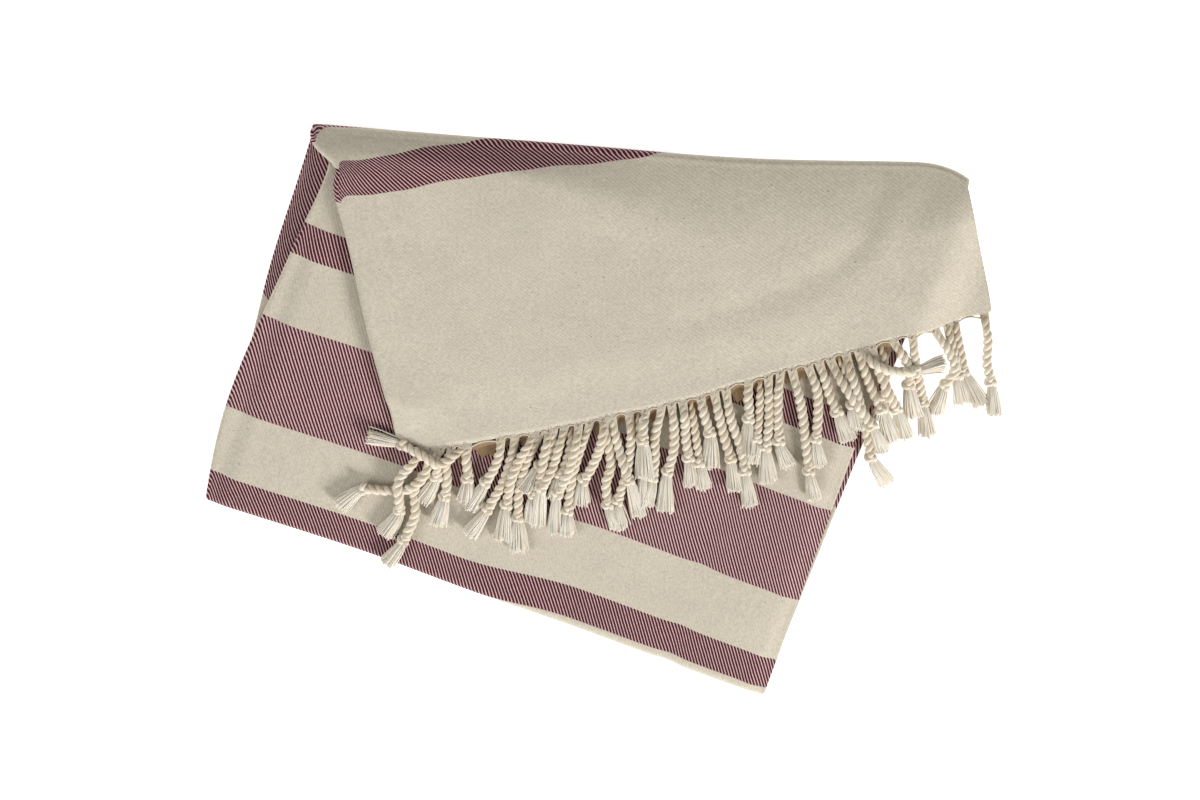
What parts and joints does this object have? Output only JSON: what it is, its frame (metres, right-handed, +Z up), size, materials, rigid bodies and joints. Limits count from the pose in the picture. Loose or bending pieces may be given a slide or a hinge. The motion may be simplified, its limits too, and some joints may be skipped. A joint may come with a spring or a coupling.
{
  "type": "hammam towel",
  "caption": "Woven cotton towel with wide and narrow stripes, folded into a loose skewed stack with its knotted fringe on top.",
  "frame": {"origin": "on the surface the towel lies on, below the middle part of the towel", "axes": "+Z up from the surface, +Y towards the top fold, +X towards the side where the fringe reaches past the stack"},
  "size_m": [0.6678, 0.507, 0.0233],
  "materials": {
    "striped_cotton": "matt cream cotton twill with woven burgundy stripes",
    "cotton_cord": "matt undyed twisted cotton"
  },
  "bodies": {
    "root": {"towel_cloth": "striped_cotton", "towel_fringe": "cotton_cord"}
  },
  "joints": []
}
